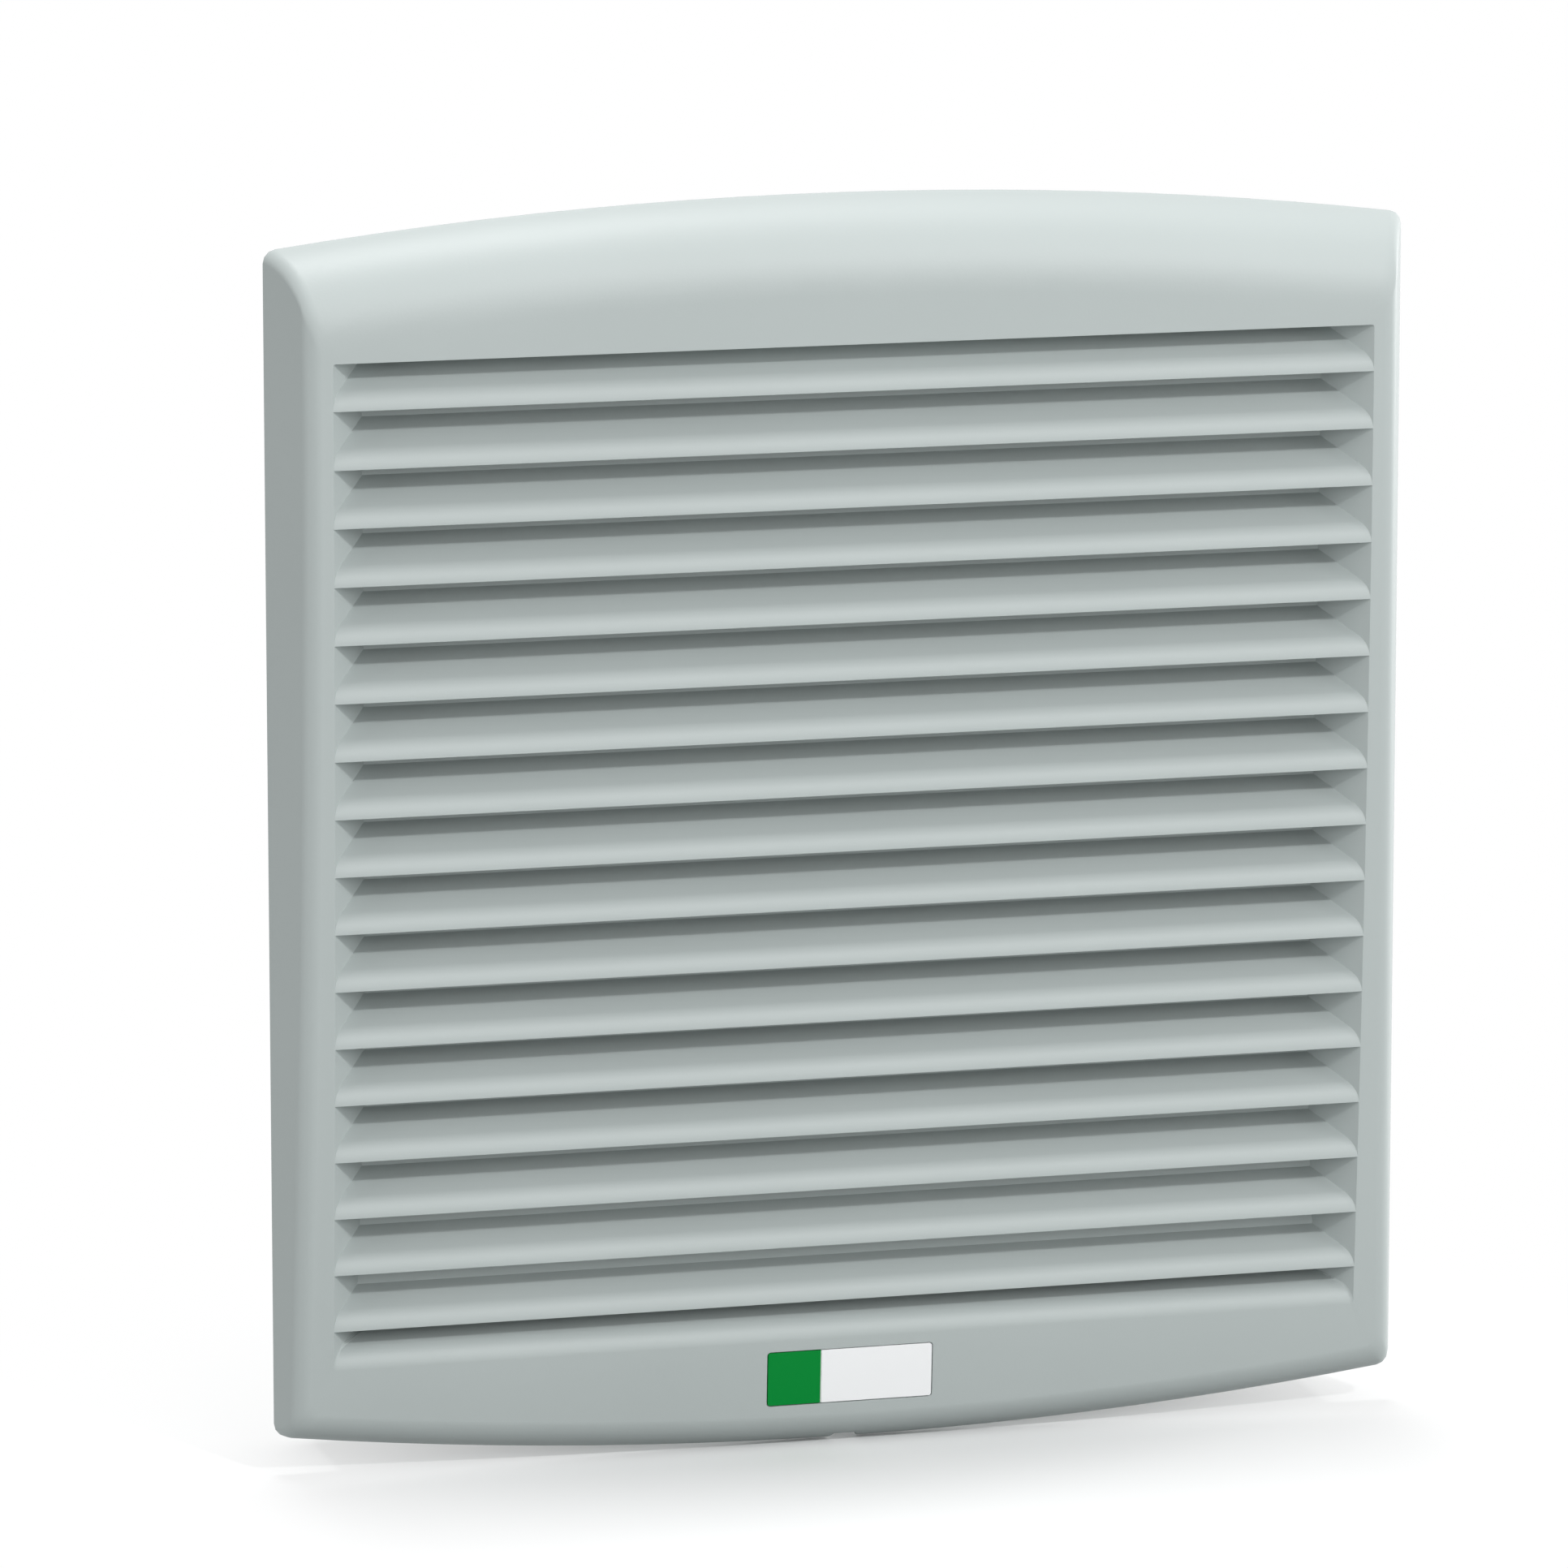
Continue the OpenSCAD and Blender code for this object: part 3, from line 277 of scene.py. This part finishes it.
# die-cast aluminium under matt black powder paint: a fine orange-peel skin
blackCasting = {"colour": "#2C2E31", "shade": "#242629", "cloud": 14, "grain": 1.1, "height": 0.03,
                "roughness": (0.42, 0.56), "ior": 1.5}
# ground bearing steel: bright with faint turning marks
groundSteel = {"colour": "#D3D6DA", "shade": "#C2C6CB", "cloud": 5, "grain": 0.3, "height": 0.002,
               "stretch": (1, 6, 1), "roughness": (0.14, 0.24), "metallic": 1.0}
# black glass-filled polyamide: matt with a trace of fibre flow
blackPolyamide = {"colour": "#26282A", "shade": "#1F2123", "cloud": 18, "grain": 0.9, "height": 0.012,
                  "roughness": (0.38, 0.54), "ior": 1.53}
# pressure-cast aluminium: soft grey with a granular skin
castAluminium = {"colour": "#B4B7BA", "shade": "#9DA1A5", "cloud": 3, "grain": 0.6, "height": 0.02,
                 "roughness": (0.42, 0.58), "metallic": 1.0}
# natural polyamide washer: creamy and slightly waxy
creamPolyamide = {"colour": "#DAD3C0", "shade": "#CFC7B2", "cloud": 3, "grain": 0.4, "height": 0.004,
                  "roughness": (0.34, 0.46), "ior": 1.53}
# nickel and chromium plated wire: bright, a little wavy from the drawn wire beneath
chromedWire = {"colour": "#CDD0D3", "shade": "#BFC3C7", "cloud": 8, "grain": 1.2, "height": 0.01,
               "roughness": (0.12, 0.22), "metallic": 1.0}
# off-white polyamide terminal body: smooth moulding with soft mottling
terminalPolyamide = {"colour": "#DEDCD4", "shade": "#D4D1C7", "cloud": 7, "grain": 0.5, "height": 0.008,
                     "roughness": (0.36, 0.48), "ior": 1.53}
# bright brass from the bar: warm yellow with darker streaks
barBrass = {"colour": "#D3B572", "shade": "#B99A58", "cloud": 4, "grain": 0.35, "height": 0.004,
            "stretch": (1, 0.2, 1), "roughness": (0.22, 0.36), "metallic": 1.0}

# printed polyester label: two plain fields under a satin film that hardly mirrors the room
labelFilm = {"leftField": "#008936", "rightField": "#FDFEFF", "split": -6.45, "grain": 0.8,
             "height": 0.002, "roughness": (0.34, 0.44), "mirror": 0.12}


def printedLabel(name, look):
    material = bpy.data.materials.new(name)
    tree = newTree(material)
    place = addNode(tree, "TexCoord")
    parts = addNode(tree, "SeparateXYZ", {}, {0: place.outputs["Object"]})
    right = addNode(tree, "Math", {"operation": "GREATER_THAN", 1: look["split"] * mm},
                    {0: parts.outputs["X"]})
    fields = addNode(tree, "MixRGB",
                     {"Color1": linear(look["leftField"]), "Color2": linear(look["rightField"])},
                     {"Fac": right.outputs["Value"]})
    film = addNode(tree, "TexNoise", {"Scale": perMm(look["grain"])}, {"Vector": place.outputs["Object"]})
    gloss = addNode(tree, "MapRange", {"To Min": look["roughness"][0], "To Max": look["roughness"][1]},
                    {"Value": film.outputs["Fac"]})
    bump = addNode(tree, "Bump", {"Distance": look["height"] * mm}, {"Height": film.outputs["Fac"]})
    shader = addNode(tree, "BsdfPrincipled", {"Specular IOR Level": look["mirror"]},
                     {"Base Color": fields.outputs["Color"], "Roughness": gloss.outputs["Result"],
                      "Normal": bump.outputs["Normal"]})
    addNode(tree, "OutputMaterial", {}, {"Surface": shader.outputs["BSDF"]})
    return material


# needled polyester fleece: white fibres tangled, with painted grey shade laid in the hollows between them
needledFleece = {"fibre": "#EFF0EA", "paintedHollowShade": "#B9BBB4", "strand": 0.9, "tangle": 6.0, "height": 0.5,
                 "hollowBelow": 0.35, "fibreAbove": 0.62, "roughness": 0.92, "sheen": 0.2}


def fibreFleece(name, look):
    material = bpy.data.materials.new(name)
    tree = newTree(material)
    place = addNode(tree, "TexCoord")
    strands = addNode(tree, "TexNoise", {"Scale": perMm(look["strand"]), "Detail": noiseDetail["strand"],
                                         "Distortion": look["tangle"]}, {"Vector": place.outputs["Object"]})
    depth = addNode(tree, "MapRange", {"From Min": look["hollowBelow"], "From Max": look["fibreAbove"]},
                    {"Value": strands.outputs["Fac"]})
    # painted shade: the low parts of the fibre height take a grey that stands for shade in the hollows, the
    # high parts stay white
    tint = addNode(tree, "MixRGB", {"Color1": linear(look["paintedHollowShade"]), "Color2": linear(look["fibre"])},
                   {"Fac": depth.outputs["Result"]})
    bump = addNode(tree, "Bump", {"Distance": look["height"] * mm}, {"Height": depth.outputs["Result"]})
    shader = addNode(tree, "BsdfPrincipled",
                     {"Roughness": look["roughness"], "Sheen Weight": look["sheen"]},
                     {"Base Color": tint.outputs["Color"], "Normal": bump.outputs["Normal"]})
    addNode(tree, "OutputMaterial", {}, {"Surface": shader.outputs["BSDF"]})
    return material


# stacked electrical sheet: thin steel layers with darker seams between them
sheetStack = {"layer": "#8D9196", "seam": "#4A4D51", "spacing": 1.0, "waver": 0.4, "height": 0.05,
              "waveType": "BANDS", "roughness": 0.45, "metallic": 1.0}
# enamelled copper wire wound in a ring: coppery strands side by side
woundCopper = {"layer": "#B8703A", "seam": "#6B3414", "spacing": 0.8, "waver": 0.4, "height": 0.25,
               "waveType": "RINGS", "roughness": 0.32, "metallic": 0.9}


def layeredMetal(name, look):
    material = bpy.data.materials.new(name)
    tree = newTree(material)
    place = addNode(tree, "TexCoord")
    layers = addNode(tree, "TexWave", {"wave_type": look["waveType"], "bands_direction": "Y",
                                       "rings_direction": "Y", "Scale": bandScale(look["spacing"]),
                                       "Distortion": look["waver"]}, {"Vector": place.outputs["Object"]})
    tint = addNode(tree, "MixRGB", {"Color1": linear(look["seam"]), "Color2": linear(look["layer"])},
                   {"Fac": layers.outputs["Fac"]})
    bump = addNode(tree, "Bump", {"Distance": look["height"] * mm}, {"Height": layers.outputs["Fac"]})
    shader = addNode(tree, "BsdfPrincipled", {"Metallic": look["metallic"], "Roughness": look["roughness"]},
                     {"Base Color": tint.outputs["Color"], "Normal": bump.outputs["Normal"]})
    addNode(tree, "OutputMaterial", {}, {"Surface": shader.outputs["BSDF"]})
    return material


# one finish for each of the record's material slots
finishes = {
    "light_grey_plastic": grainedSurface("mouldedAbsCover", coverAbs),
    "frame_plastic": grainedSurface("mouldedAbsFrame", frameAbs),
    "label": printedLabel("printedPolyesterLabel", labelFilm),
    "gasket": grainedSurface("foamedEpdm", foamedEpdm),
    "spring_steel": grainedSurface("rolledSpringSteel", springStrip),
    "filter_fibre": fibreFleece("needledPolyesterFleece", needledFleece),
    "zinc_steel": grainedSurface("zincPlatedSteel", zincSteel),
    "black_aluminium": grainedSurface("paintedDieCastAluminium", blackCasting),
    "lamination_steel": layeredMetal("stackedElectricalSheet", sheetStack),
    "copper": layeredMetal("enamelledCopperWire", woundCopper),
    "bearing_steel": grainedSurface("groundBearingSteel", groundSteel),
    "black_plastic": grainedSurface("glassFilledPolyamide", blackPolyamide),
    "cage_aluminium": grainedSurface("pressureCastAluminium", castAluminium),
    "washer_plastic": grainedSurface("naturalPolyamide", creamPolyamide),
    "chromed_wire": grainedSurface("chromedSteelWire", chromedWire),
    "terminal_plastic": grainedSurface("terminalPolyamide", terminalPolyamide),
    "brass": grainedSurface("barBrass", barBrass),
}
nodeSlot = {part["node"]: part["material_slot"] for part in frame["record"]["subparts"]}
nodeBody = {name: body for body, names in frame["record"]["behaviour"]["bodies"].items() for name in names}


def dress(piece, slotName):
    piece.data.materials.clear()
    piece.data.materials.append(finishes[slotName])


for nodeName, node in nodes.items():
    dress(node, nodeSlot[nodeName])
print("finishes given to", len(nodes), "nodes")

# smooth skins: each piece that can be seen gets a merged copy, most with a small round on each edge;
# widen closes the fitting gap at the blades' ends
smoothSkins = {
    "cover_shell": {"piece": "coverShell", "edge": 0.25},
    "louvre_blades": {"piece": "louvreBlades", "edge": 0.0, "widen": 1.0012},
    "label_plate": {"piece": "labelPlate", "edge": 0.10},
    "fan_hood": {"piece": "fanHood", "edge": 0.25},
    "fan_housing": {"piece": "fanHousing", "edge": 0.35},
    "motor_bracket": {"piece": "motorBracket", "edge": 0.35},
    "impeller": {"piece": "impellerWheel", "edge": 0.15},
    "rotor_can": {"piece": "rotorCan", "edge": 0.25},
    "finger_guard": {"piece": "fingerGuard", "edge": 0.0, "sharp": 60},
    "base_frame": {"piece": "baseFrame", "edge": 0.25},
    "filter_support_grid": {"piece": "filterSupportGrid", "edge": 0.20},
    "panel_gasket": {"piece": "panelGasket", "edge": 0.30},
    "panel_clips": {"piece": "panelClips", "edge": 0.08},
    "hood_screws": {"piece": "hoodScrews", "edge": 0.12},
    "fan_screws": {"piece": "fanScrews", "edge": 0.15},
    "terminal_block": {"piece": "terminalBlock", "edge": 0.30},
    "terminal_screws": {"piece": "terminalScrews", "edge": 0.08},
    "earth_tab": {"piece": "earthTab", "edge": 0.08},
    "earth_screw": {"piece": "earthScrew", "edge": 0.10},
    "rotor_shaft": {"piece": "rotorShaft", "edge": 0.10},
    "rear_bearing": {"piece": "rearBearing", "edge": 0.12},
    "retaining_ring": {"piece": "retainingRing", "edge": 0.05},
    "stator_windings": {"piece": "statorWindings", "edge": 0.30},
}
skinWork = {"mergeGap": 0.002, "flatAngle": 0.05, "edgeSteps": 2, "sharp": 32}


def smoothSkin(nodeName, look):
    sharpAngle = math.radians(look.get("sharp", skinWork["sharp"]))
    pick(nodes[nodeName])
    bpy.ops.object.duplicate()
    piece = bpy.context.object
    piece.name = look["piece"]
    del piece["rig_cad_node"]
    bpy.ops.mesh.customdata_custom_splitnormals_clear()
    bpy.ops.object.mode_set(mode="EDIT")
    bpy.ops.mesh.select_all(action="SELECT")
    bpy.ops.mesh.remove_doubles(threshold=skinWork["mergeGap"] * mm)
    bpy.ops.mesh.dissolve_limited(angle_limit=math.radians(skinWork["flatAngle"]))
    if "widen" in look:
        bpy.ops.transform.resize(value=(look["widen"], 1, 1), center_override=(0, 0, 0))
    bpy.ops.object.mode_set(mode="OBJECT")
    if look["edge"]:
        applyModifier(piece, "BEVEL", {"width": look["edge"] * mm, "segments": skinWork["edgeSteps"],
                                       "limit_method": "ANGLE", "angle_limit": sharpAngle})
    pick(piece)
    bpy.ops.object.shade_smooth_by_angle(angle=sharpAngle)
    applyModifier(piece, "WEIGHTED_NORMAL", {"keep_sharp": True})
    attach(piece, nodeBody[nodeName])
    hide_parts(nodeName)
    return piece


for nodeName, skinLook in smoothSkins.items():
    skin = smoothSkin(nodeName, skinLook)
    print("skin made:", skin.name, len(skin.data.polygons), "faces")

# filter mat: a needled fleece slab, swollen a little between its cut edges
filterFleece = {"piece": "filterFleece", "node": "filter_mat", "inset": 1.0, "voxel": 4.0, "pressure": 4.0,
                "frames": 20, "swell": 0.85, "fuzz": 0.3, "fuzzSize": 6.0, "fill": 0.4}


def makeFilterFleece(look):
    low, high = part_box(look["node"])
    inset = Vector((look["inset"], look["inset"], look["inset"])) * mm
    bpy.ops.object.select_all(action="DESELECT")
    bpy.ops.mesh.primitive_cube_add(size=1, location=(low + high) / 2, scale=high - low - 2 * inset)
    piece = bpy.context.object
    piece.name = look["piece"]
    bpy.ops.object.transform_apply()
    piece.data.remesh_voxel_size = look["voxel"] * mm
    bpy.ops.object.voxel_remesh()
    starts = [vertex.co.copy() for vertex in piece.data.vertices]
    cloth = piece.modifiers.new("cloth", "CLOTH")
    cloth.settings.use_pressure = True
    cloth.settings.uniform_pressure_force = look["pressure"]
    cloth.settings.effector_weights.gravity = 0
    for step in range(1, look["frames"] + 1):
        scene.frame_set(step)
    pick(piece)
    bpy.ops.object.modifier_apply(modifier=cloth.name)
    scene.frame_set(1)
    for vertex, start in zip(piece.data.vertices, starts):
        shift = vertex.co - start
        if shift.length > look["swell"] * mm:
            shift.length = look["swell"] * mm
        vertex.co = start + shift
    applyModifier(piece, "SUBSURF", {"levels": 1, "render_levels": 1})
    tufts = bpy.data.textures.new("fleeceTufts", "CLOUDS")
    tufts.noise_scale = look["fuzzSize"] * mm
    applyModifier(piece, "DISPLACE", {"texture": tufts, "strength": look["fuzz"] * mm})
    pick(piece)
    bpy.ops.object.shade_smooth()
    dress(piece, nodeSlot[look["node"]])
    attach(piece, nodeBody[look["node"]])
    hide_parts(look["node"])
    return piece


fleece = makeFilterFleece(filterFleece)
print("fleece made:", len(fleece.data.polygons), "faces")
